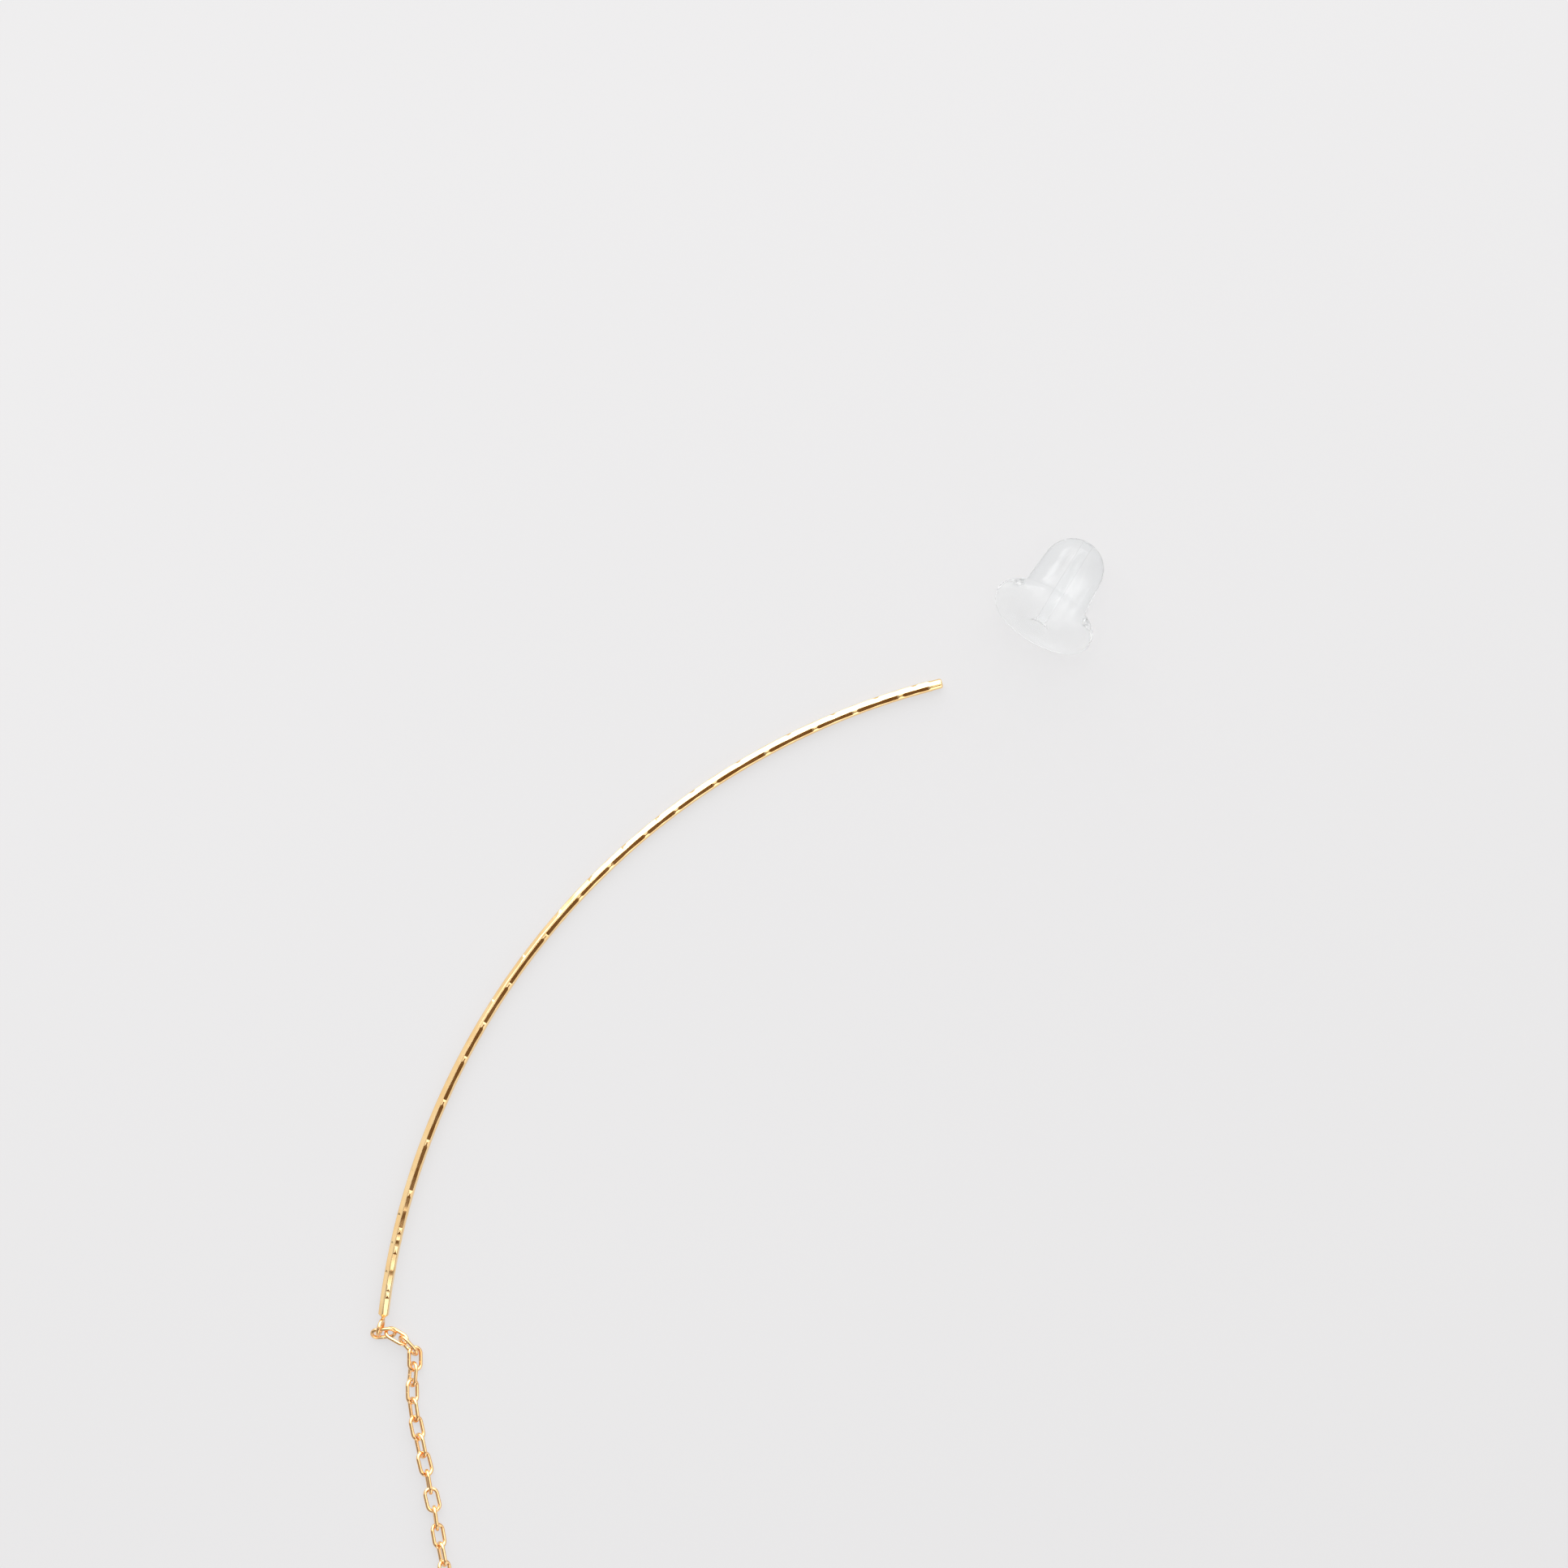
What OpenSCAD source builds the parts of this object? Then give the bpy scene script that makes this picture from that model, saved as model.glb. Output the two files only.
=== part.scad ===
// Threader earring: a curved bar of faceted round wire with a ring soldered to its lower end, a fine cable
// chain threaded through the ring, and a clear bell-shaped stopper lying beside it.
// Everything lies on the surface z = 0 and is seen from above: +X to the right, +Y up.

/* [Bar] */
// Diameter of the bar's wire
bar_d = 0.6; // [0.5:0.02:0.9]
// Radius that the wire is bent to, to its middle
bend_r = 41.5; // [30:0.5:60]
// Length of the bent wire, without its smooth tip
bar_l = 49.5; // [30:0.5:60]
// Length of the smooth tip
tip_l = 0.7; // [0.4:0.1:2]
// Rounding of the tip's edge
tip_round = 0.14; // [0.05:0.01:0.2]

/* [Facets] */
// Mean distance from one facet to the next along the wire
facet_pitch = 2.7; // [1.5:0.1:5]
// Depth of a facet
facet_depth = 0.02; // [0.01:0.005:0.04]
// Length of uncut wire between two facets
facet_gap = 0.4; // [0.1:0.05:0.8]

/* [Ring] */
// Outer diameter of the ring
ring_d = 1.07; // [0.95:0.01:1.4]
// Diameter of the ring's wire
ring_wire = 0.23; // [0.15:0.01:0.26]
// Length of the soldered joint between the bar and the ring
neck_l = 0.21; // [0.15:0.01:0.4]
// Diameter of the soldered joint
neck_d = 0.2; // [0.12:0.01:0.22]
// Chamfer of the bar's end above the joint
end_chamfer = 0.12; // [0.05:0.01:0.14]
// How far the ring leans over from upright, in degrees
ring_lean = 9; // [0:1:15]
// How far the ring is turned from the line of the bar, in degrees
ring_turn = -9; // [-15:1:15]

/* [Chain] */
// Diameter of a link's wire
link_wire = 0.21; // [0.15:0.01:0.24]
// Length of the hole in a link
link_hole_l = 1.07; // [0.95:0.01:1.3]
// Room in a link's hole on each side of the wire that passes through it
link_room = 0.135; // [0.1:0.005:0.16]
// Play between two links that are pulled tight
link_play = 0.03; // [0.02:0.01:0.05]
// How far a link's middle may hang below the middle of the next one
link_drop = 0.04; // [0.02:0.01:0.05]

/* [Stopper] */
// Length of the stopper
stopper_l = 5.8; // [5:0.1:8]
// Diameter of its dome
dome_d = 3.5; // [2.8:0.1:3.7]
// Diameter of its flange
flange_d = 6; // [5.2:0.1:7]
// Rounding of the flange's rim
flange_round = 0.75; // [0.6:0.05:1]
// Rounding of the hollow where the body runs into the flange
flange_fillet = 0.5; // [0.2:0.05:0.8]
// Diameter of the body where it runs into the flange
body_d = 3.95; // [3.8:0.05:4.4]
// How tightly the bore grips the wire
bore_grip = 0.04; // [0.02:0.01:0.1]
// Diameter of the funnel in the flange's face
funnel_d = 1.4; // [1:0.1:3]
// Depth of the funnel
funnel_depth = 0.7; // [0.3:0.1:1.2]

/* [Place] */
// Middle of the bend, from the origin
bend_at = [21.445, -19.056];
// Direction from the middle of the bend to the start of the wire, in degrees
start_dir = 104.8; // [90:0.2:120]
// Middle of the stopper's dome, from the origin
stopper_at = [18.76, 27.549];
// Direction in which the stopper's flange points, in degrees
stopper_dir = 238; // [200:1:280]

/* [Hidden] */
// Lengths of the facets as shares of the mean distance: the cutting tool repeats after six
FACET_SHARES = [0.81, 1, 0.9, 1.11, 1.26, 0.98];
// The first facet begins this share of the mean distance before the start of the wire
FIRST_CELL = -0.17;
// Rows of facets round the wire: direction from the top towards the inside of the bend, and shift along the wire
ROW_DIR = 0;
ROW_SHIFT = 1;
ROWS = [[19, 0], [79, 0.5], [139, 0], [199, 0.5], [259, 0], [319, 0.5]];

// The chain's route, one row for each link. The heading is the link's direction seen from above and the roll its
// turn about its own length, in degrees. The step is the distance from the link before as a share of the
// tight distance, and the side is a shift to the left as a share of the link's width.
HEADING = 0;
ROLL = 1;
STEP = 2;
SIDE = 3;
LINKS = [
    [4, 46, 0, 0],
    [-30, -42, 0.75, 0],
    [-47, 62, 0.83, 0],
    [-90, -22, 0.84, 0.08],
    [-95, 58, 0.84, -0.09],
    [-89, -42, 0.92, 0.01],
    [-82, 56, 1, 0],
    [-78, -34, 1, 0],
    [-78, 55, 0.97, 0],
    [-76, -30, 1, 0],
    [-80, 79, 0.99, 0],
    [-77, -8, 0.99, 0],
    [-82, 84, 1, 0],
    [-80, -36, 0.97, 0],
    [-79, 66, 1, 0],
    [-82, -40, 1, 0]
];
// The first link's middle from the ring's, along and to the left of its heading, as shares of the ring's diameter
FIRST_ALONG = 0.13;
FIRST_SIDE = -0.33;

GOLD = [0.85, 0.63, 0.27];
CLEAR = [0.86, 0.9, 0.92, 0.6];

// Where the lifted bar still touches the surface, as a share of its bend from the tip
TOUCH_SHARE = 0.33;
// How far the tip and the end piece reach into the bar
SOCKET = 0.25;

bar_r = bar_d / 2;
// The tip and the end piece are as thick as the wire across its facets
dressed_r = bar_r - facet_depth;
bend_angle = bar_l / bend_r * 180 / PI;
end_dir = start_dir + bend_angle;
end_heading = end_dir + 90;
cut_end = bar_l - end_chamfer;

ring_mid_r = (ring_d - ring_wire) / 2;
ring_z = ring_mid_r * cos(ring_lean) + ring_wire / 2;
ring_heading = end_heading + ring_turn;
ring_at = bend_at + bend_r * dir(end_dir) + neck_l * dir(end_heading) + ring_d / 2 * dir(ring_heading);

// The ring stands on the surface, so it lifts the bar's lower end and tilts the bend about its touching point
touch_dir = start_dir + TOUCH_SHARE * bend_angle;
tilt = asin((ring_z - bar_r) / (bend_r * (1 - cos(end_dir - touch_dir))));

link_l = link_hole_l + 2 * link_wire;
link_w = 3 * link_wire + 2 * link_room;
link_pitch = link_hole_l - link_play;

dome_r = dome_d / 2;
dome_at = stopper_l - dome_r;
rim_r = flange_d / 2 - flange_round;
bore_d = bar_d - bore_grip;
// The stopper lies on its rim and its dome: the slope of the line that touches both circles of its profile
rim_to_dome = dome_at - flange_round;
stopper_slope = acos((dome_r - flange_round) / norm([rim_r, rim_to_dome])) - atan2(rim_to_dome, rim_r);
// The body's side touches the dome's circle at this angle
body_foot = [body_d / 2, 1.5 * flange_round];
foot_from_dome = body_foot - [0, dome_at];
side_angle = atan2(foot_from_dome[1], foot_from_dome[0]) + acos(dome_r / norm(foot_from_dome));
// The side ends just inside the dome's circle, so that the two cross cleanly
side_top = 0.998 * dome_r * dir(side_angle) + [0, dome_at];
// The hollow's circle touches the side and the rim's circle
rim_at = [rim_r, flange_round];
side_dir = (side_top - body_foot) / norm(side_top - body_foot);
side_out = [side_dir[1], -side_dir[0]];
from_rim = body_foot + flange_fillet * side_out - rim_at;
reach_r = flange_round + flange_fillet;
up_side = sqrt(pow(side_dir * from_rim, 2) - from_rim * from_rim + reach_r * reach_r) - side_dir * from_rim;
hollow_at = rim_at + from_rim + up_side * side_dir;

LINK_NAMES = [for (i = [1:len(LINKS)]) str("link_", i < 10 ? "0" : "", i)];

function dir(a) = [cos(a), sin(a)];
function left_of(v) = [-v[1], v[0]];

// Start of a facet's cell along the wire, from the lengths of the cells before it
function cell_start(i) = i == 0
    ? FIRST_CELL * facet_pitch
    : cell_start(i - 1) + facet_pitch * FACET_SHARES[(i - 1) % len(FACET_SHARES)];
CELLS = [for (i = 0; cell_start(i) < cut_end; i = i + 1) [cell_start(i), cell_start(i + 1)]];

// Middle of a link seen from above, stepped from link to link
function mean_dir(i) = (dir(LINKS[i - 1][HEADING]) + dir(LINKS[i][HEADING])) / 2;
function link_at(i) = i == 0
    ? ring_at + ring_d * (FIRST_ALONG * dir(LINKS[0][HEADING]) + FIRST_SIDE * left_of(dir(LINKS[0][HEADING])))
    : link_at(i - 1) + LINKS[i][STEP] * link_pitch * mean_dir(i) + LINKS[i][SIDE] * link_w * left_of(mean_dir(i));

// Height of a link's middle: it rests on the surface, or is carried by a steeper link next to it
function resting(i) = (link_w - link_wire) / 2 * abs(sin(LINKS[i][ROLL])) + link_wire / 2;
function link_z(i) = max([
    for (j = [max(i - 1, 0):min(i + 1, len(LINKS) - 1)]) resting(j) - (j == i ? 0 : link_drop)
]);

// The plane of the bend, tilted about the point where the bar touches the surface
module in_bend() {
    translate([bend_at[0], bend_at[1], bar_r + bend_r * sin(tilt)])
        rotate([0, 0, touch_dir])
            rotate([0, tilt, 0])
                rotate([0, 0, -touch_dir])
                    children();
}

// A stretch of the bend between two distances along the wire, turned from a flat profile
module along_bend(from, to) {
    rotate([0, 0, start_dir + from / bend_r * 180 / PI])
        rotate_extrude(angle = (to - from) / bend_r * 180 / PI, $fn = 720)
            translate([bend_r, 0])
                children();
}

// A round piece in line with the wire at an angle of the bend, pointing on along it or back
module in_line(angle, back) {
    rotate([0, 0, angle])
        translate([bend_r, 0, 0])
            rotate([back ? 90 : -90, 0, 0])
                children();
}

module facet(row, from, to) {
    along_bend(from, to)
        rotate(row[ROW_DIR])
            translate([-bar_r, bar_r - facet_depth])
                square([bar_d, bar_r]);
}

module facets() {
    for (row = ROWS, cell = CELLS) {
        shift = row[ROW_SHIFT] * facet_pitch;
        from = max(cell[0] + shift, 0) + facet_gap / 2;
        to = min(cell[1] + shift - facet_gap / 2, cut_end);
        if (to - from > facet_gap) facet(row, from, to);
    }
}

module tip() {
    flat_r = dressed_r - tip_round;
    in_line(start_dir, true)
        rotate_extrude($fn = 64) {
            translate([0, -SOCKET])
                square([dressed_r, SOCKET + tip_l - tip_round]);
            square([flat_r, tip_l]);
            translate([flat_r, tip_l - tip_round])
                circle(r = tip_round, $fn = 48);
        }
}

// The bar's chamfered end and the joint that reaches to the middle of the ring's wire
module end_piece() {
    face_r = dressed_r - end_chamfer;
    reach = neck_l + ring_wire / 2;
    in_line(end_dir, false)
        rotate_extrude($fn = 64)
            polygon([
                [0, -SOCKET],
                [dressed_r, -SOCKET],
                [dressed_r, 0],
                [face_r, end_chamfer],
                [neck_d / 2, end_chamfer],
                [neck_d / 2, reach],
                [0, reach]
            ]);
}

module ring() {
    translate([ring_at[0], ring_at[1], ring_z])
        rotate([90 + ring_lean, 0, ring_heading])
            rotate_extrude($fn = 96)
                translate([ring_mid_r, 0])
                    circle(d = ring_wire, $fn = 32);
}

module bar() {
    color(GOLD) {
        in_bend() {
            difference() {
                along_bend(0, bar_l)
                    circle(d = bar_d, $fn = 64);
                facets();
            }
            tip();
            end_piece();
        }
        ring();
    }
}

// An oval link of round wire that lies flat, its length along X
module oval_link() {
    bend = (link_w - link_wire) / 2;
    straight = link_l - link_w;
    for (side = [0, 180]) rotate([0, 0, side]) {
        translate([straight / 2, 0, 0])
            rotate([0, 0, -90])
                rotate_extrude(angle = 180, $fn = 64)
                    translate([bend, 0])
                        circle(d = link_wire, $fn = 32);
        translate([-straight / 2, bend, 0])
            rotate([0, 90, 0])
                cylinder(d = link_wire, h = straight, $fn = 32);
    }
}

module link(i) {
    color(GOLD)
        translate([link_at(i)[0], link_at(i)[1], link_z(i)])
            rotate([LINKS[i][ROLL], 0, LINKS[i][HEADING]])
                oval_link();
}

// Half of the stopper's outline: its foot at the origin, its axis along Y
module stopper_outline() {
    rim_touch = rim_at + flange_round / reach_r * (hollow_at - rim_at);
    intersection() {
        union() {
            polygon([[0, 0], [rim_r, 0], body_foot, side_top, [0, dome_at]]);
            difference() {
                polygon([body_foot, rim_touch, hollow_at, body_foot + up_side * side_dir]);
                translate(hollow_at)
                    circle(r = 1.002 * flange_fillet, $fn = 96);
            }
            translate(rim_at)
                circle(r = flange_round, $fn = 96);
            translate([0, dome_at])
                circle(r = dome_r, $fn = 96);
        }
        square([flange_d, stopper_l]);
    }
}

module stopper() {
    color(CLEAR)
        translate([stopper_at[0], stopper_at[1], dome_r])
            rotate([0, -90 - stopper_slope, stopper_dir])
                translate([0, 0, -dome_at])
                    difference() {
                        rotate_extrude($fn = 96)
                            stopper_outline();
                        translate([0, 0, -1])
                            cylinder(d = bore_d, h = stopper_l + 2, $fn = 48);
                        cylinder(d1 = funnel_d, d2 = bore_d, h = funnel_depth, $fn = 64);
                    }
}

bar();
for (i = [0:len(LINKS) - 1])
    link(i);
stopper();
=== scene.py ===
"""Looks of a threader earring that lies on a pale surface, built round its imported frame.

Lengths are in millimetres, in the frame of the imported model, until a mesh is made. Angles are in degrees.
"""

import math

import bmesh
import bpy
import numpy as np
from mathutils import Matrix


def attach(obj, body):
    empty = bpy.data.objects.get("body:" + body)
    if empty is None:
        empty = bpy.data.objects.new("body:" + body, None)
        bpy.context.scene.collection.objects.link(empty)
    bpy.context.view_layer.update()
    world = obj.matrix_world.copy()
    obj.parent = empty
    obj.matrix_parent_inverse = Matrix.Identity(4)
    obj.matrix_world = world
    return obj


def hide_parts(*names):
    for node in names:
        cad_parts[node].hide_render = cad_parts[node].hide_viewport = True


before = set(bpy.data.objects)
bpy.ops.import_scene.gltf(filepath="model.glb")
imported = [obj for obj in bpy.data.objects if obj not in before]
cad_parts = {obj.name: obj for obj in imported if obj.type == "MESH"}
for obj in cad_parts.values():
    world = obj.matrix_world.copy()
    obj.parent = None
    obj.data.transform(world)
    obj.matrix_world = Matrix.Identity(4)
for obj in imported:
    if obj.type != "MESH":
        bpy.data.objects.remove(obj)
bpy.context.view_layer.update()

MM = 0.001
SEED = 5

# Bar
BAR_R = 0.3
BEND_R = 41.5
BAR_L = 49.5
BEND_AT = (21.445, -19.056)
START_DIR = 104.8
TOUCH_SHARE = 0.33
# Smooth tip: its length, the radius of its edge, and where outlines are made between that and the facets
TIP_L = 0.7
TIP_ROUND = 0.14
TIP_STOPS = (-0.3, -0.12)
TIP_SHOULDER = -0.05
TIP_CUTS = 9
# Cut end, as (distance past the bend, how far the wire has drawn in)
END_CHAMFER = 0.12
END_OUTLINE = ((0.03, 0.03), (0.8 * END_CHAMFER, 0.115), (END_CHAMFER, 0.145))

# Facets, in rows of (angle round the wire, shift in facets)
FACET_ROWS = ((19.0, 0.0), (79.0, 0.5), (139.0, 0.0), (199.0, 0.5), (259.0, 0.0), (319.0, 0.5))
FACET_PITCH = 2.7
FACET_DEPTH = 0.02
FACET_GAP = 0.16
FIRST_CELL = -0.17
# Lengths of the facets that the cutting wheel repeats, in pitches, and how far along the bar it runs
FACET_SHARES = (0.81, 1.0, 0.9, 1.11, 1.26, 0.98)
WHEEL_REACH = 43.5
# Ridges near the ring, as (distance along the bar, length of uncut wire)
END_RIDGES = ((44.73, 0.12), (45.84, 0.2), (48.0, 0.16), (48.41, 0.1))
# Where two ridges lie closer than this, the shifted rows have none between them
SHIFT_ROOM = 1.0
# How long a facet takes to reach its depth, and the largest share of its length that this may be
FACET_RAMP = 0.13
RAMP_SHARE = 0.3
# How much shallower a facet is in the middle of its length, and the share of its length where it is
FACET_WAIST = 0.3
WAIST_SHARE = 0.13
# Largest lean of a facet to either side, and the range of its depth
FACET_LEAN = 1.2
DEPTH_SCALES = (0.88, 1.08)

# Mesh of the bar: shares of a ramp and of a facet where its outline is made, and the steps between outlines
RAMP_CUTS = (0.0, 0.03, 0.1, 0.22, 0.4, 0.66, 1.0)
WAIST_CUTS = (0.3, 0.7, 9)
LEAST_STEP = 0.012
LONGEST_STEP = 0.3
# Points of an outline: the least half angle that a flat takes, and the cuts of a flat and of an arc
LEAST_REACH = 9.0
FLAT_CUTS = 4
ARC_CUTS = 8

# Ring, and the solder that joins it to the bar, as (distance past the bend, radius)
RING_D = 1.07
RING_WIRE = 0.23
RING_LEAN = 9.0
RING_TURN = -9.0
NECK_L = 0.21
SOLDER = (
    (END_CHAMFER - 0.03, 0.15),
    (END_CHAMFER + 0.005, 0.146),
    (END_CHAMFER + 0.03, 0.118),
    (0.19, 0.104),
    (0.24, 0.108),
    (0.28, 0.118),
    (0.31, 0.12),
    (NECK_L + 0.55 * RING_WIRE, 0.08),
)

# Chain
LINK_WIRE = 0.21
LINK_HOLE_L = 1.07
LINK_ROOM = 0.135
LINK_PLAY = 0.03
LINK_DROP = 0.04
FIRST_ALONG = 0.13
FIRST_SIDE = -0.33
# Soldered seam of a link, and the shares of a straight side where its outline is made, closer at the seam
SEAM_DEPTH = 0.004
SEAM_HALF = 0.06
SIDE_CUTS = (0.3, 0.42, 0.47, 0.5, 0.53, 0.58, 0.7)
# Heading, roll, step and side of each link, as in the part's source
LINKS = (
    (4, 46, 0, 0),
    (-30, -42, 0.75, 0),
    (-47, 62, 0.83, 0),
    (-90, -22, 0.84, 0.08),
    (-95, 58, 0.84, -0.09),
    (-89, -42, 0.92, 0.01),
    (-82, 56, 1, 0),
    (-78, -34, 1, 0),
    (-78, 55, 0.97, 0),
    (-76, -30, 1, 0),
    (-80, 79, 0.99, 0),
    (-77, -8, 0.99, 0),
    (-82, 84, 1, 0),
    (-80, -36, 0.97, 0),
    (-79, 66, 1, 0),
    (-82, -40, 1, 0),
)

# Stopper
STOPPER_L = 5.8
DOME_R = 1.75
FLANGE_D = 6.0
FLANGE_ROUND = 0.75
FLANGE_FILLET = 0.5
BODY_D = 3.95
BORE_R = 0.28
FUNNEL_D = 1.4
FUNNEL_DEPTH = 0.7
STOPPER_AT = (18.76, 27.549)
STOPPER_DIR = 238.0
# Softened edges inside it: the bore's mouth in the dome, the bore's foot and the funnel's rim
MOUTH_ROUND = 0.05
THROAT_ABOVE = 0.08
THROAT_BELOW = 0.03
RIM_OUTSIDE = 0.06
RIM_INSIDE = 0.04
RIM_RISE = 0.035
# Points of its outline along the flange's rim, the fillet and the dome, and shares of its straight parts
RIM_CUTS = 40
FILLET_CUTS = 14
DOME_CUTS = 40
QUARTERS = (0.25, 0.5, 0.75)
THIRDS = (0.33, 0.66)

# Fineness of the noises, in cells to a metre, and the part of its range that a noise mostly takes
GOLD_MOTTLE = 900.0
GOLD_GRAIN = 5200.0
SILICONE_CLOUD = 420.0
SILICONE_STREAK = 1900.0
SILICONE_RIPPLE = 900.0
FLOOR_CLOUD = 18.0
NOISE_SPAN = (0.3, 0.7)

# Gold: its darker, middle and lighter tone on the drawn bar and on the small parts, where it is a darker,
# redder copy that paints in shade
DRAWN_TONES = ((0.95, 0.64, 0.3), (0.98, 0.7, 0.36), (1.0, 0.75, 0.42))
POLISHED_SHADED_TONES = ((0.88, 0.51, 0.22), (0.93, 0.58, 0.28), (0.96, 0.64, 0.34))
TONE_PLACES = (0.3, 0.55, 0.75)
GOLD_ROUGHNESS = (0.07, 0.13)
# How fine the bar's streaks are along the wire and round it
DRAWN_SCALE = (1.2, 42.0, 1.0)

# Silicone: its tint from its clouds, made lighter at the flange by painted light, and painted shade in its
# tint from face on to edge on
CLOUD_TINTS = ((0.3, (0.9, 0.911, 0.914)), (0.7, (0.94, 0.951, 0.953)), (0.95, (0.98, 0.988, 0.988)))
EDGE_SHADE_TINTS = (
    (0.06, (1.0, 1.0, 1.0)),
    (0.35, (0.96, 0.964, 0.966)),
    (0.75, (0.91, 0.916, 0.92)),
    (0.95, (0.76, 0.77, 0.78)),
)
BORE_TINT = (0.99, 0.995, 0.996, 1.0)
SILICONE_ROUGHNESS = (0.16, 0.26)
# Gloss of the body in streaks along its axis, with the span of noise that it follows, and of the flange
BODY_GLOSS = (0.05, 0.85)
STREAK_SPAN = (0.46, 0.66)
FLANGE_GLOSS = 0.22
# Painted light on the flange: how far up the cloud tints its colour moves
FLANGE_PAINTED_LIGHT = 0.45
STREAK_STRETCH = 8.0
# Distances from the dome's middle towards the foot between which the flange's gloss and painted light set in
# and the painted edge shade fades out
FLANGE_FROM = 1.9
FLANGE_TO = 2.7

# Light: patches of the sky as (azimuths, heights, softness of both, radiance)
SKY_BASE = 0.35
SKY_PATCHES = (
    ((139, 179), (-5, 84), (3, 4), 0.95),
    ((-85, -42), (-5, 86), (4, 3), 1.7),
    ((-42, -17.4), (-5, 86), (4, 3), 1.05),
    ((-17.4, 45), (20, 80), (2, 8), 1.8),
    ((45, 138), (0, 87), (4, 2), 4.0),
    ((130, 150), (40, 54), (3, 4), 4.5),
)
SKY_GAP = ((-85, -17.4), (43, 63), (2, 4), 0.17)
SKY_TINT = (1.0, 0.997, 0.995)
SKY_GAP_TINT = (1.0, 0.56, 0.24)

# Floor: half its side, its tones, and a painted glow that thins the shadows on it and grows up the picture
# and a little to the left
FLOOR_HALF = 1200.0
FLOOR_TONES = ((0.3, (0.118, 0.117, 0.118)), (0.7, (0.122, 0.121, 0.122)))
FLOOR_GLOW = (0.592, 0.65)
GLOW_TINT = (1.0, 0.993, 0.999, 1.0)
GLOW_FROM = -45.0
GLOW_TO = 55.0
GLOW_SLANT = 0.3

# Camera: straight above the middle of the picture
VIEW_AT = (2.66, 15.584)
VIEW_WIDTH = 87.82
VIEW_HEIGHT = 400.0
SENSOR = 36.0

# Placing


def flat_dir(angle):
    """Unit vector in the plane of the surface."""
    return np.array([math.cos(math.radians(angle)), math.sin(math.radians(angle))])


def left_of(v):
    return np.array([-v[1], v[0]])


def in_space(v):
    """A vector of the plane as one of the frame."""
    return np.array([*v, 0.0])


def turn(axis, angle):
    """Rotation matrix about one of the frame's axes."""
    c, s = math.cos(math.radians(angle)), math.sin(math.radians(angle))
    if axis == "x":
        return np.array([[1, 0, 0], [0, c, -s], [0, s, c]])
    if axis == "y":
        return np.array([[c, 0, s], [0, 1, 0], [-s, 0, c]])
    return np.array([[c, -s, 0], [s, c, 0], [0, 0, 1]])


bend_angle = math.degrees(BAR_L / BEND_R)
end_dir = START_DIR + bend_angle
end_heading = end_dir + 90
ring_mid_r = (RING_D - RING_WIRE) / 2
ring_z = ring_mid_r * math.cos(math.radians(RING_LEAN)) + RING_WIRE / 2
ring_heading = end_heading + RING_TURN
ring_at = (
    np.array(BEND_AT)
    + BEND_R * flat_dir(end_dir)
    + NECK_L * flat_dir(end_heading)
    + RING_D / 2 * flat_dir(ring_heading)
)
link_w = 3 * LINK_WIRE + 2 * LINK_ROOM
dome_at = STOPPER_L - DOME_R
rim_r = FLANGE_D / 2 - FLANGE_ROUND

# The bar touches the surface at one place and is tilted there, because its ring props it up
touch_dir = START_DIR + TOUCH_SHARE * bend_angle
tilt = math.degrees(
    math.asin((ring_z - BAR_R) / (BEND_R * (1 - math.cos(math.radians(end_dir - touch_dir)))))
)
bend_turn = turn("z", touch_dir) @ turn("y", tilt) @ turn("z", -touch_dir)
bend_shift = np.array([*BEND_AT, BAR_R + BEND_R * math.sin(math.radians(tilt))])


def in_bend(points):
    """Points of the bend's own plane, brought to where the tilted bar lies."""
    return np.asarray(points) @ bend_turn.T + bend_shift


# Mesh building


def new_piece(name, points, faces, material, nodes, sharp=None, uvs=None):
    """A mesh piece in the frame, from points in millimetres, that stands for the named nodes."""
    mesh = bpy.data.meshes.new(name)
    mesh.from_pydata([tuple(float(c) * MM for c in p) for p in points], [], faces)
    if uvs is not None:
        layer = mesh.uv_layers.new(name="along")
        loops = np.zeros(len(mesh.loops), dtype=np.int64)
        mesh.loops.foreach_get("vertex_index", loops)
        layer.data.foreach_set("uv", np.asarray(uvs, dtype=np.float32)[loops].ravel())
    bm = bmesh.new()
    bm.from_mesh(mesh)
    bmesh.ops.recalc_face_normals(bm, faces=bm.faces)
    for face in bm.faces:
        face.smooth = True
    if sharp is not None:
        limit = math.radians(sharp)
        for edge in bm.edges:
            edge.smooth = not (edge.is_manifold and edge.calc_face_angle() > limit)
    bm.to_mesh(mesh)
    bm.free()
    mesh.materials.append(material)
    piece = bpy.data.objects.new(name, mesh)
    bpy.context.scene.collection.objects.link(piece)
    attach(piece, "root")
    if nodes:
        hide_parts(*nodes)
    return piece


def tube_faces(rings, around, closed):
    """Faces of a tube of rings with the same number of points; an open tube gets a cap at each end."""
    faces = []
    for i in range(rings if closed else rings - 1):
        j = (i + 1) % rings
        for k in range(around):
            n = (k + 1) % around
            faces.append((i * around + k, i * around + n, j * around + n, j * around + k))
    if not closed:
        faces.append(tuple(range(around)))
        faces.append(tuple(range((rings - 1) * around, rings * around)))
    return faces


def round_cuts(around):
    """Cosine and sine of each of a number of even steps round a circle."""
    angles = [2 * math.pi * k / around for k in range(around)]
    return [(math.cos(a), math.sin(a)) for a in angles]


# Materials


def plug(tree, socket, value):
    """Set a socket to a value, or feed it from another node's socket."""
    if isinstance(value, bpy.types.NodeSocket):
        tree.links.new(value, socket)
    else:
        socket.default_value = value


def feed(tree, made, **inputs):
    """Set a node's input sockets by their names."""
    for name, value in inputs.items():
        plug(tree, made.inputs[name.replace("_", " ")], value)


def node(tree, kind, **inputs):
    """A shader node with its input sockets set."""
    made = tree.nodes.new(kind)
    feed(tree, made, **inputs)
    return made


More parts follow.
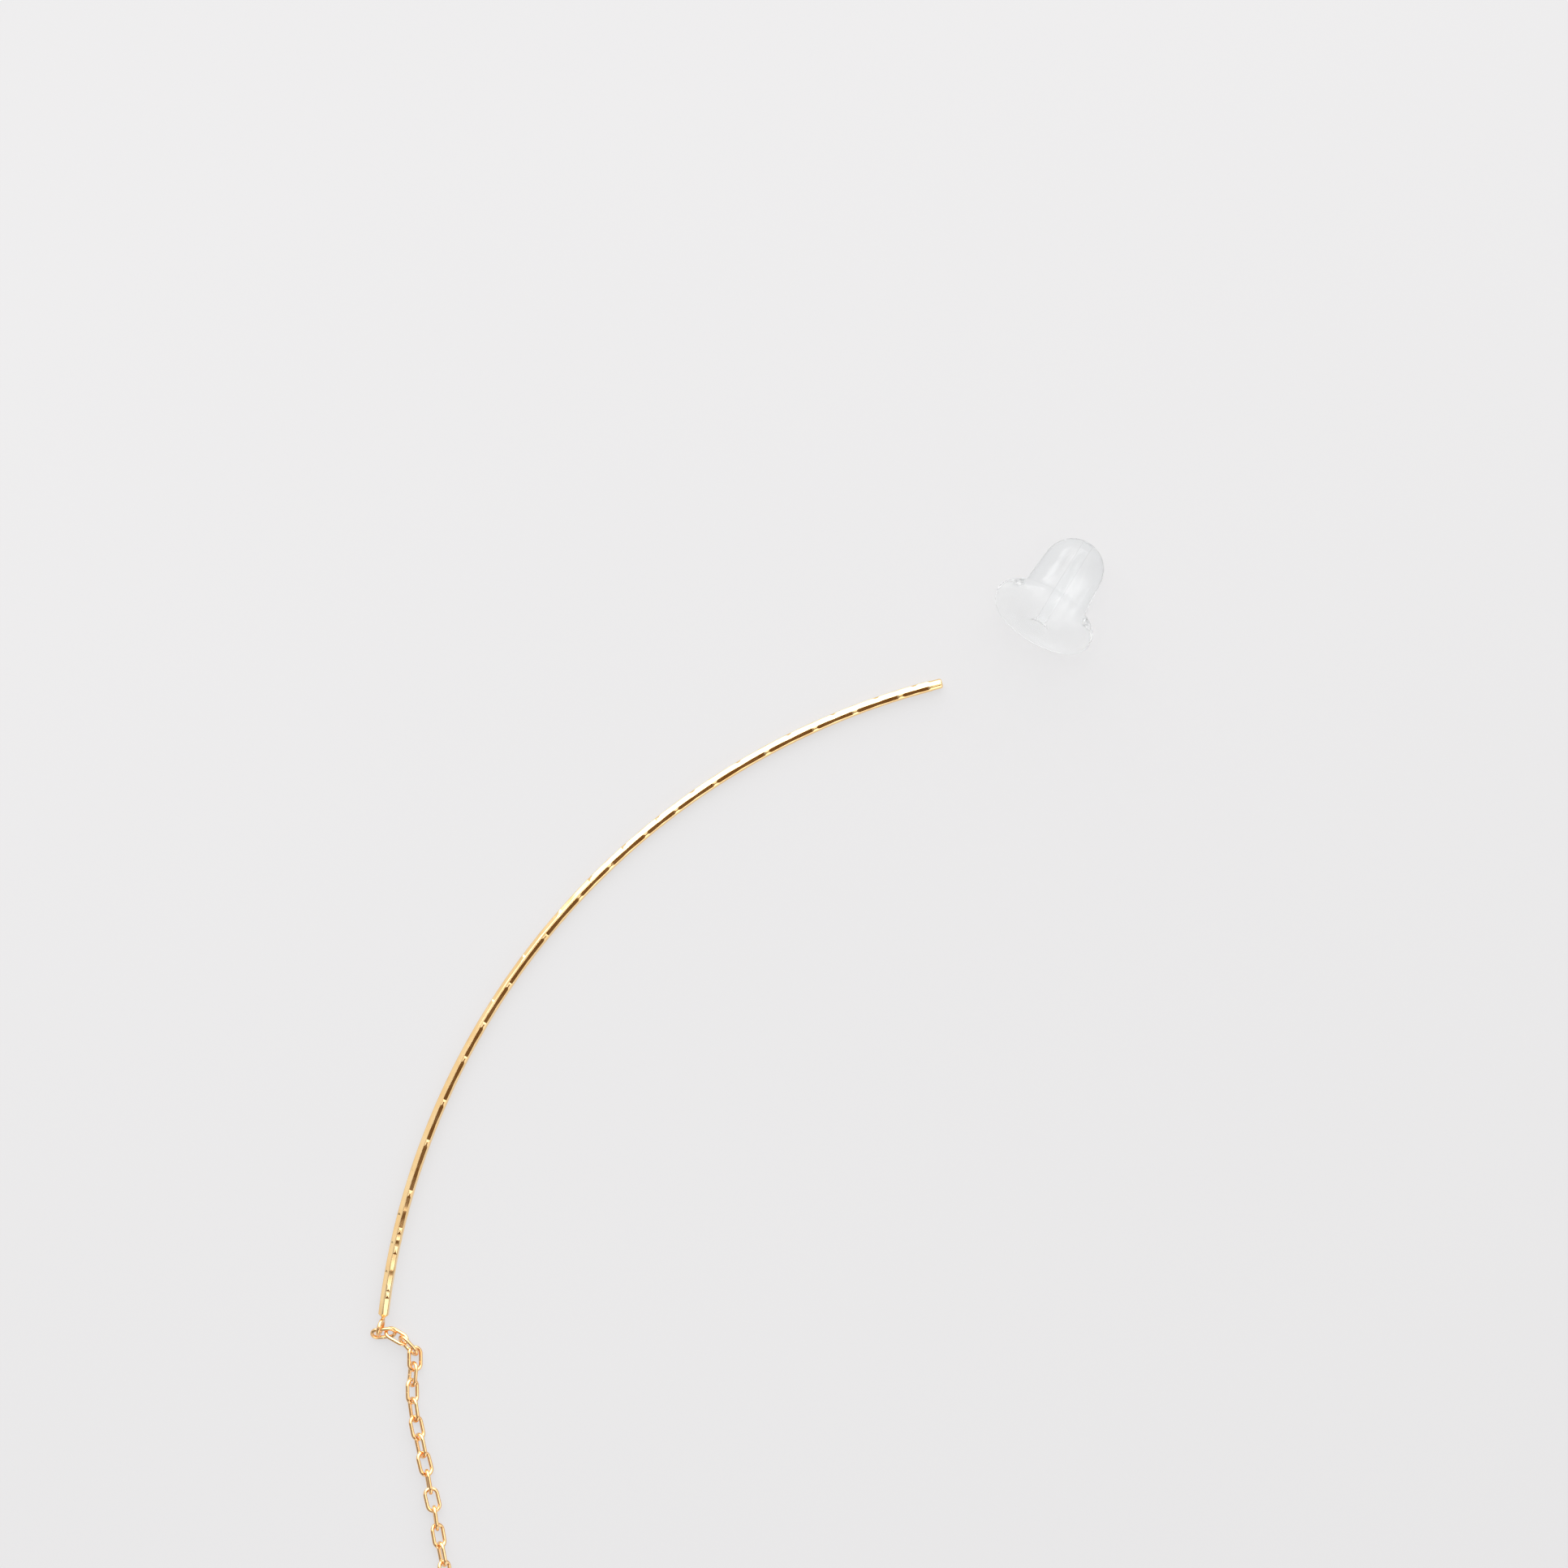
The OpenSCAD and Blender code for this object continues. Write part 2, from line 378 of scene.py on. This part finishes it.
def noise(tree, where, scale, detail=2.0, roughness=0.5):
    """Noise over the given coordinates."""
    made = node(tree, "ShaderNodeTexNoise", Vector=where, Scale=scale, Detail=detail, Roughness=roughness)
    return made.outputs["Fac"]


def ramp(tree, source, stops):
    """The colour at a value, from stops of (place, colour)."""
    made = node(tree, "ShaderNodeValToRGB", Fac=source)
    band = made.color_ramp
    while len(band.elements) < len(stops):
        band.elements.new(0.5)
    for element, (place, colour) in zip(band.elements, stops):
        element.position = place
        element.color = (*colour, 1.0)
    return made.outputs["Color"]


def maths(tree, operation, a, b):
    """The result of an operation on two values or sockets."""
    made = tree.nodes.new("ShaderNodeMath")
    made.operation = operation
    plug(tree, made.inputs[0], a)
    plug(tree, made.inputs[1], b)
    return made.outputs["Value"]


def toward(tree, level, mask, goal):
    """The level moved to a goal where the mask is 1."""
    return maths(tree, "ADD", level, maths(tree, "MULTIPLY", mask, maths(tree, "SUBTRACT", goal, level)))


def rescaled(tree, value, low, high, to_low=0.0, to_high=1.0, smooth=False):
    """A value brought from one range to another, and held inside it."""
    made = node(
        tree, "ShaderNodeMapRange", Value=value, From_Min=low, From_Max=high, To_Min=to_low, To_Max=to_high
    )
    if smooth:
        made.interpolation_type = "SMOOTHSTEP"
    return made.outputs["Result"]


def multiplied(tree, share, colour, tint):
    """A colour multiplied by a share of a tint."""
    made = tree.nodes.new("ShaderNodeMix")
    made.data_type, made.blend_type = "RGBA", "MULTIPLY"
    # The node has sockets of the same name for each kind of data, so these go by number
    for number, source in ((0, share), (6, colour), (7, tint)):
        tree.links.new(source, made.inputs[number])
    return made.outputs[2]


def bump(tree, height, strength, distance):
    """A normal that follows a height."""
    made = node(tree, "ShaderNodeBump", Height=height, Strength=strength, Distance=distance * MM)
    return made.outputs["Normal"]


def new_material(name):
    """A material with its tree, its shader and the coordinates of its object."""
    material = bpy.data.materials.new(name)
    material.use_nodes = True
    tree = material.node_tree
    where = tree.nodes.new("ShaderNodeTexCoord").outputs["Object"]
    return material, tree, tree.nodes["Principled BSDF"], where


def gold_material(name, tones, along):
    """Polished gold plate, with drawn streaks where the piece has a map along its wire."""
    material, tree, shader, where = new_material(name)
    mottle = noise(tree, where, GOLD_MOTTLE, detail=3.0, roughness=0.55)
    if along:
        map_uv = tree.nodes.new("ShaderNodeUVMap")
        map_uv.uv_map = "along"
        stretch = node(tree, "ShaderNodeMapping", Vector=map_uv.outputs["UV"], Scale=DRAWN_SCALE)
        streak = noise(tree, stretch.outputs["Vector"], 1.0, roughness=0.6)
        normal = bump(tree, streak, 0.35, 0.004)
    else:
        normal = bump(tree, noise(tree, where, GOLD_GRAIN), 0.4, 0.006)
    feed(
        tree,
        shader,
        Metallic=1.0,
        Base_Color=ramp(tree, mottle, tuple(zip(TONE_PLACES, tones))),
        Roughness=rescaled(tree, mottle, *NOISE_SPAN, *GOLD_ROUGHNESS),
        Normal=normal,
    )
    return material


def bore_material():
    """Clear silicone without gloss, for the wall of the bore, which hardly shows."""
    material, tree, shader, where = new_material("clear_silicone_bore")
    cloud = noise(tree, where, SILICONE_CLOUD, detail=3.0)
    haze = rescaled(tree, cloud, *NOISE_SPAN, *SILICONE_ROUGHNESS)
    feed(tree, shader, IOR=1.02, Transmission_Weight=1.0, Roughness=haze, Base_Color=BORE_TINT)
    return material


def silicone_material():
    """Clear soft silicone: an uneven gloss, a trace of haze, painted shade that greys its body where it is
    seen edge on, and painted light on its flange.
    """
    material, tree, shader, where = new_material("clear_silicone")
    cloud = noise(tree, where, SILICONE_CLOUD, detail=3.0)
    along = tree.nodes.new("ShaderNodeMapping")
    along.vector_type = "TEXTURE"
    feed(
        tree,
        along,
        Vector=where,
        Location=(STOPPER_AT[0] * MM, STOPPER_AT[1] * MM, 0.0),
        Rotation=(0.0, 0.0, math.radians(STOPPER_DIR)),
        Scale=(STREAK_STRETCH, 1.0, 1.0),
    )
    on_axis = along.outputs["Vector"]
    foot_way = node(tree, "ShaderNodeSeparateXYZ", Vector=on_axis).outputs["X"]
    flange = rescaled(
        tree, foot_way, FLANGE_FROM * MM / STREAK_STRETCH, FLANGE_TO * MM / STREAK_STRETCH
    )
    # Painted light: the flange's tint is moved lighter
    cloud_and_flange_light = maths(tree, "ADD", cloud, maths(tree, "MULTIPLY", flange, FLANGE_PAINTED_LIGHT))
    # Painted shade: the body greys where it is seen edge on
    edge = node(tree, "ShaderNodeLayerWeight", Blend=0.4).outputs["Facing"]
    body = maths(tree, "SUBTRACT", 1.0, flange)
    colour = multiplied(tree, body, ramp(tree, cloud_and_flange_light, CLOUD_TINTS), ramp(tree, edge, EDGE_SHADE_TINTS))
    gloss = rescaled(tree, noise(tree, on_axis, SILICONE_STREAK), *STREAK_SPAN, *BODY_GLOSS)
    normal = bump(tree, noise(tree, where, SILICONE_RIPPLE, detail=1.0), 0.12, 0.02)
    feed(
        tree,
        shader,
        IOR=1.06,
        Transmission_Weight=0.96,
        Base_Color=colour,
        Roughness=rescaled(tree, cloud, *NOISE_SPAN, *SILICONE_ROUGHNESS),
        Normal=normal,
        Coat_IOR=1.43,
        Coat_Roughness=0.13,
        Coat_Weight=toward(tree, gloss, flange, FLANGE_GLOSS),
        Coat_Normal=normal,
    )
    return material


gold_wire = gold_material("gold_drawn", DRAWN_TONES, True)
# The small parts' gold is the bar's made darker and redder: painted shade
gold_cast_shaded = gold_material("gold_polished_shaded", POLISHED_SHADED_TONES, False)
silicone = silicone_material()
silicone_bore = bore_material()

# Bar: a round wire whose flats run between ridges


def ridges():
    """Distances along the wire of the ridges between flats, each with the length of uncut wire there."""
    found = []
    at, i = FIRST_CELL * FACET_PITCH, 0
    while at < WHEEL_REACH:
        if at > 0:
            found.append((at, FACET_GAP))
        at += FACET_PITCH * FACET_SHARES[i % len(FACET_SHARES)]
        i += 1
    return found + list(END_RIDGES)


def facet_spans(shift):
    """Spans of the flats of one row: start, end, and how long each takes to reach its depth."""
    marks = ridges()
    if shift:
        pairs = [(a, b) for (a, _), (b, _) in zip(marks, marks[1:]) if b - a > SHIFT_ROOM]
        marks = [(marks[0][0] / 2, FACET_GAP)] + [((a + b) / 2, FACET_GAP) for a, b in pairs]
    # The last flat runs out past the end of the wire
    edges = [(0.0, 0.0)] + marks + [(BAR_L + 1.0, 0.0)]
    spans = []
    for (a, gap_a), (b, gap_b) in zip(edges, edges[1:]):
        spans.append((a + gap_a / 2, b - gap_b / 2, min(FACET_RAMP, RAMP_SHARE * (b - a))))
    return spans


def facet_rows():
    """Each row of facets as its angle, its spans, and the lean and the depth of every facet."""
    rng = np.random.default_rng(SEED)
    rows = []
    for psi, shift in FACET_ROWS:
        spans = facet_spans(shift)
        leans = rng.uniform(-FACET_LEAN, FACET_LEAN, len(spans))
        scales = rng.uniform(*DEPTH_SCALES, len(spans))
        rows.append((psi, spans, leans, FACET_DEPTH * scales))
    return rows


def bend_stops(rows):
    """Distances along the bend where the wire's outline is made, closer where a facet starts or ends."""
    stops = {0.0, BAR_L}
    for _, spans, _, _ in rows:
        for a, b, rise in spans:
            for share in RAMP_CUTS:
                stops.add(a + share * rise)
                stops.add(b - share * rise)
            stops.update(a + share * (b - a) for share in np.linspace(*WAIST_CUTS))
    along = sorted(s for s in stops if 0 <= s <= BAR_L)
    filled = [along[0]]
    for s in along[1:]:
        base = filled[-1]
        if s - base < LEAST_STEP:
            continue
        steps = math.ceil((s - base) / LONGEST_STEP)
        filled += [base + (s - base) * (k + 1) / steps for k in range(steps)]
    filled[-1] = BAR_L
    return filled


def bar_outlines(rows):
    """Distance and uncut radius of each of the wire's outlines, from the tip to the cut end."""
    tip_r = BAR_R - FACET_DEPTH
    outlines = []
    for a in np.linspace(math.pi / 2, 0, TIP_CUTS):
        along, drop = TIP_ROUND * (1 - math.sin(a)), TIP_ROUND * (1 - math.cos(a))
        outlines.append((along - TIP_L, tip_r - drop))
    outlines += [(s, tip_r) for s in TIP_STOPS]
    outlines.append((TIP_SHOULDER, BAR_R - FACET_DEPTH / 2))
    outlines += [(s, BAR_R) for s in bend_stops(rows)]
    return outlines + [(BAR_L + past, BAR_R - drop) for past, drop in END_OUTLINE]


def cuts_at(s, rows):
    """Angle and depth of every row's cut at one distance along the bar."""
    where, depths = [], []
    for psi, spans, leans, fulls in rows:
        lean, cut = 0.0, 0.0
        for (a, b, rise), tip_over, full in zip(spans, leans, fulls):
            if a <= s <= b:
                off_middle = (s - (a + b) / 2) / (WAIST_SHARE * (b - a))
                waist = FACET_WAIST * math.exp(-(off_middle**2))
                cut = full * (1 - waist) * min(1.0, (s - a) / rise, (b - s) / rise)
            if a - FACET_GAP <= s <= b:
                lean = tip_over
        where.append(psi + lean)
        depths.append(cut if s > 0 else 0.0)
    return where, depths


def outline_angles(where, depths):
    """Angles of an outline's points: across each flat, and along the arc from it to the next."""
    reach = [max(LEAST_REACH, math.degrees(math.acos(1 - d / BAR_R))) for d in depths]
    angles = []
    for k in range(len(where)):
        n = (k + 1) % len(where)
        low, high = where[k] - reach[k], where[k] + reach[k]
        following = where[n] - reach[n] + (360 if n == 0 else 0)
        angles += list(np.linspace(low, high, FLAT_CUTS + 1))
        angles += list(np.linspace(high, following, ARC_CUTS + 2)[1:-1])
    return angles


def bar_piece():
    """The bar with its tip and facets, mapped along its wire for the drawn streaks."""
    rows = facet_rows()
    outlines = bar_outlines(rows)
    points, uvs = [], []
    for s, uncut_r in outlines:
        where, depths = cuts_at(s, rows)
        bent = min(max(0.0, s), BAR_L)
        out = in_space(flat_dir(START_DIR + math.degrees(bent / BEND_R)))
        on = in_space(left_of(out[:2]))
        middle = BEND_R * out + (s - bent) * on
        for angle in outline_angles(where, depths):
            radius = uncut_r
            for psi, cut in zip(where, depths):
                slope = math.cos(math.radians(angle - psi))
                # A flat cuts the wire on its own side only
                if slope > 0.5:
                    radius = min(radius, (BAR_R - cut) / slope)
            side = math.radians(angle)
            points.append(middle - radius * math.sin(side) * out + np.array([0, 0, radius * math.cos(side)]))
            uvs.append((s, side * BAR_R))
    faces = tube_faces(len(outlines), len(rows) * (FLAT_CUTS + 1 + ARC_CUTS), False)
    new_piece("bar_wire", in_bend(points), faces, gold_wire, ["bar"], sharp=8.0, uvs=uvs)


def ring_piece():
    rings, around = 120, 36
    points = []
    for c, s in round_cuts(rings):
        for out, up in round_cuts(around):
            r = ring_mid_r + RING_WIRE / 2 * out
            points.append((r * c, r * s, RING_WIRE / 2 * up))
    stand = turn("z", ring_heading) @ turn("x", 90 + RING_LEAN)
    placed = np.array(points) @ stand.T + np.array([*ring_at, ring_z])
    new_piece("bar_ring", placed, tube_faces(rings, around, True), gold_cast_shaded, [])


def solder_piece():
    """The joint's metal: it wets the bar's end and the ring, and is waisted between them."""
    around = 40
    start = BEND_R * in_space(flat_dir(end_dir))
    on = in_space(flat_dir(end_heading))
    across = in_space(flat_dir(end_dir))
    points = []
    for past, r in SOLDER:
        for c, s in round_cuts(around):
            points.append(start + past * on + r * (c * across + s * np.array([0, 0, 1.0])))
    faces = tube_faces(len(SOLDER), around, False)
    new_piece("bar_solder", in_bend(points), faces, gold_cast_shaded, [], sharp=50.0)


# Chain


def link_points(around, bend_cuts):
    """An oval link of round wire that lies flat, its length along X, with a soldered seam in one side."""
    bend = (link_w - LINK_WIRE) / 2
    straight = (LINK_HOLE_L + 2 * LINK_WIRE - link_w) / 2
    path = []
    for side in (1, -1):
        for a in np.linspace(-90, 90, bend_cuts):
            c, s = flat_dir(a)
            path.append((side * (straight + bend * c), side * bend * s, side * c, side * s))
        for share in SIDE_CUTS:
            path.append((side * straight * (1 - 2 * share), side * bend, 0.0, float(side)))
    points = []
    for x, y, nx, ny in path:
        r = LINK_WIRE / 2
        if ny == -1.0 and abs(x) < SEAM_HALF:
            r -= SEAM_DEPTH * (1 - abs(x) / SEAM_HALF)
        for c, s in round_cuts(around):
            points.append((x + nx * r * c, y + ny * r * c, r * s))
    return np.array(points), len(path)


def link_places():
    """Middle of each link, with its heading and roll."""
    pitch = LINK_HOLE_L - LINK_PLAY
    half_w = (link_w - LINK_WIRE) / 2
    rest = [half_w * abs(math.sin(math.radians(roll))) + LINK_WIRE / 2 for _, roll, _, _ in LINKS]
    places, at, before = [], None, None
    for i, (heading, roll, step, side) in enumerate(LINKS):
        ahead = flat_dir(heading)
        if at is None:
            at = ring_at + RING_D * (FIRST_ALONG * ahead + FIRST_SIDE * left_of(ahead))
        else:
            mean = (before + ahead) / 2
            at = at + step * pitch * mean + side * link_w * left_of(mean)
        # A link rests on the surface, or hangs a little below a neighbour that stands higher
        beside = range(max(i - 1, 0), min(i + 2, len(LINKS)))
        height = max(rest[j] - (0 if j == i else LINK_DROP) for j in beside)
        places.append((np.array([*at, height]), heading, roll))
        before = ahead
    return places


def chain_pieces():
    around = 28
    points, rings = link_points(around, 33)
    faces = tube_faces(rings, around, True)
    for i, (at, heading, roll) in enumerate(link_places()):
        placed = points @ (turn("z", heading) @ turn("x", roll)).T + at
        number = f"{i + 1:02d}"
        new_piece("chain_link_" + number, placed, faces, gold_cast_shaded, ["link_" + number])


# Stopper


def stopper_profile():
    """Closed outline of the stopper's wall, as (radius, height above its foot)."""
    dome = np.array([0, dome_at])
    foot = np.array([BODY_D / 2, 1.5 * FLANGE_ROUND])
    from_dome = foot - dome
    side_angle = math.degrees(
        math.atan2(from_dome[1], from_dome[0]) + math.acos(DOME_R / np.linalg.norm(from_dome))
    )
    top = DOME_R * flat_dir(side_angle) + dome
    up = (top - foot) / np.linalg.norm(top - foot)
    out = -left_of(up)
    rim_at = np.array([rim_r, FLANGE_ROUND])
    from_rim = foot + FLANGE_FILLET * out - rim_at
    reach = FLANGE_ROUND + FLANGE_FILLET
    rise = math.sqrt((up @ from_rim) ** 2 - from_rim @ from_rim + reach**2) - up @ from_rim
    hollow = rim_at + from_rim + rise * up
    touch = math.degrees(math.atan2(*(hollow - rim_at)[::-1]))
    leave = math.degrees(math.atan2(-out[1], -out[0])) % 360
    mouth = math.degrees(math.acos((BORE_R + MOUTH_ROUND) / DOME_R))

    # Outside, from the foot to the dome's mouth
    outline = [(FUNNEL_D / 2 + RIM_OUTSIDE, 0.0), ((FUNNEL_D / 2 + rim_r) / 2, 0.0)]
    outline += [tuple(rim_at + FLANGE_ROUND * flat_dir(a)) for a in np.linspace(-90, touch, RIM_CUTS)]
    fillet = np.linspace(touch + 180, leave, FILLET_CUTS)[1:]
    outline += [tuple(hollow + FLANGE_FILLET * flat_dir(a)) for a in fillet]
    start = foot + rise * up
    outline += [tuple(start + share * (top - start)) for share in QUARTERS]
    outline += [tuple(DOME_R * flat_dir(a) + dome) for a in np.linspace(side_angle, mouth, DOME_CUTS)]

    # Inside, down the bore and the funnel
    bore_top = dome_at + math.sqrt(DOME_R**2 - BORE_R**2)
    wall_top = bore_top - MOUTH_ROUND
    outline += [(BORE_R + 0.3 * MOUTH_ROUND, bore_top - 0.2 * MOUTH_ROUND), (BORE_R, wall_top)]
    outline += [(BORE_R, wall_top + share * (FUNNEL_DEPTH - wall_top)) for share in QUARTERS]
    outline.append((BORE_R, FUNNEL_DEPTH + THROAT_ABOVE))
    outline.append((BORE_R + THROAT_BELOW, FUNNEL_DEPTH - THROAT_BELOW))
    for share in THIRDS:
        outline.append((BORE_R + share * (FUNNEL_D / 2 - BORE_R), FUNNEL_DEPTH * (1 - share)))
    outline.append((FUNNEL_D / 2 - RIM_INSIDE, RIM_RISE))
    return outline


def stopper_piece():
    """The stopper on its side: it rests on its dome and on the rim of its flange."""
    around = 128
    outline = stopper_profile()
    long_side = dome_at - FLANGE_ROUND
    slope = math.degrees(
        math.acos((DOME_R - FLANGE_ROUND) / math.hypot(rim_r, long_side)) - math.atan2(long_side, rim_r)
    )
    points = [(r * c, r * s, z - dome_at) for r, z in outline for c, s in round_cuts(around)]
    lie = turn("z", STOPPER_DIR) @ turn("y", -90 - slope)
    placed = np.array(points) @ lie.T + np.array([*STOPPER_AT, DOME_R])
    faces = tube_faces(len(outline), around, True)
    piece = new_piece("stopper_bell", placed, faces, silicone, ["stopper"])
    piece.data.materials.append(silicone_bore)
    wall = [i for i, (r, _) in enumerate(outline) if abs(r - BORE_R) < 0.001]
    for face in piece.data.polygons:
        if min(wall) * around <= min(face.vertices) < max(wall) * around:
            face.material_index = 1


# Floor, light and camera


def floor_piece():
    mesh = bpy.data.meshes.new("floor")
    half = FLOOR_HALF * MM
    corners = [(-half, -half, 0), (half, -half, 0), (half, half, 0), (-half, half, 0)]
    mesh.from_pydata(corners, [], [(0, 1, 2, 3)])
    material, tree, shader, where = new_material("pale_surface")
    parts = node(tree, "ShaderNodeSeparateXYZ", Vector=where).outputs
    up = maths(tree, "SUBTRACT", parts["Y"], maths(tree, "MULTIPLY", parts["X"], GLOW_SLANT))
    # Painted light: the floor glows, more so up the picture, which thins the shadows on it
    feed(
        tree,
        shader,
        Base_Color=ramp(tree, noise(tree, where, FLOOR_CLOUD), FLOOR_TONES),
        Roughness=0.9,
        Specular_IOR_Level=0.1,
        Emission_Color=GLOW_TINT,
        Emission_Strength=rescaled(tree, up, GLOW_FROM * MM, GLOW_TO * MM, *FLOOR_GLOW),
    )
    mesh.materials.append(material)
    floor = bpy.data.objects.new("floor", mesh)
    bpy.context.scene.collection.objects.link(floor)


def smooth_band(tree, value, limits, soft):
    """1 between two angles and 0 outside them, with soft edges."""
    low, high = (math.radians(limit) for limit in limits)
    soft = math.radians(soft)
    rise = rescaled(tree, value, low - soft, low + soft, smooth=True)
    fall = rescaled(tree, value, high - soft, high + soft, 1.0, 0.0, smooth=True)
    return maths(tree, "MULTIPLY", rise, fall)


def zone(tree, azimuth, height, sides, heights, soft):
    """1 inside a patch of the sky and 0 outside it."""
    across = smooth_band(tree, azimuth, sides, soft[0])
    return maths(tree, "MULTIPLY", across, smooth_band(tree, height, heights, soft[1]))


def studio_light():
    """A pale tent with soft boxes above and at the right, and a dark gap on the side of the lower right."""
    world = bpy.data.worlds.new("studio")
    bpy.context.scene.world = world
    world.use_nodes = True
    tree = world.node_tree
    where = tree.nodes.new("ShaderNodeTexCoord").outputs["Generated"]
    parts = node(tree, "ShaderNodeSeparateXYZ", Vector=where).outputs
    azimuth = maths(tree, "ARCTAN2", parts["Y"], parts["X"])
    height = maths(tree, "ARCSINE", parts["Z"], 0.0)
    level = SKY_BASE
    for sides, heights, soft, goal in (*SKY_PATCHES, SKY_GAP):
        patch = zone(tree, azimuth, height, sides, heights, soft)
        level = toward(tree, level, patch, goal)
    # The last patch is the gap, which alone is tinted
    tint = ramp(tree, patch, ((0.0, SKY_TINT), (1.0, SKY_GAP_TINT)))
    feed(tree, tree.nodes["Background"], Color=tint, Strength=level)


def camera():
    data = bpy.data.cameras.new("camera")
    data.sensor_width = SENSOR
    data.lens = SENSOR * (VIEW_HEIGHT - BAR_R) / VIEW_WIDTH
    data.clip_start = 0.01
    made = bpy.data.objects.new("camera", data)
    made.location = (VIEW_AT[0] * MM, VIEW_AT[1] * MM, VIEW_HEIGHT * MM)
    bpy.context.scene.collection.objects.link(made)
    bpy.context.scene.camera = made


bar_piece()
ring_piece()
solder_piece()
chain_pieces()
stopper_piece()
floor_piece()
studio_light()
camera()
bpy.context.scene.view_settings.view_transform = "Standard"
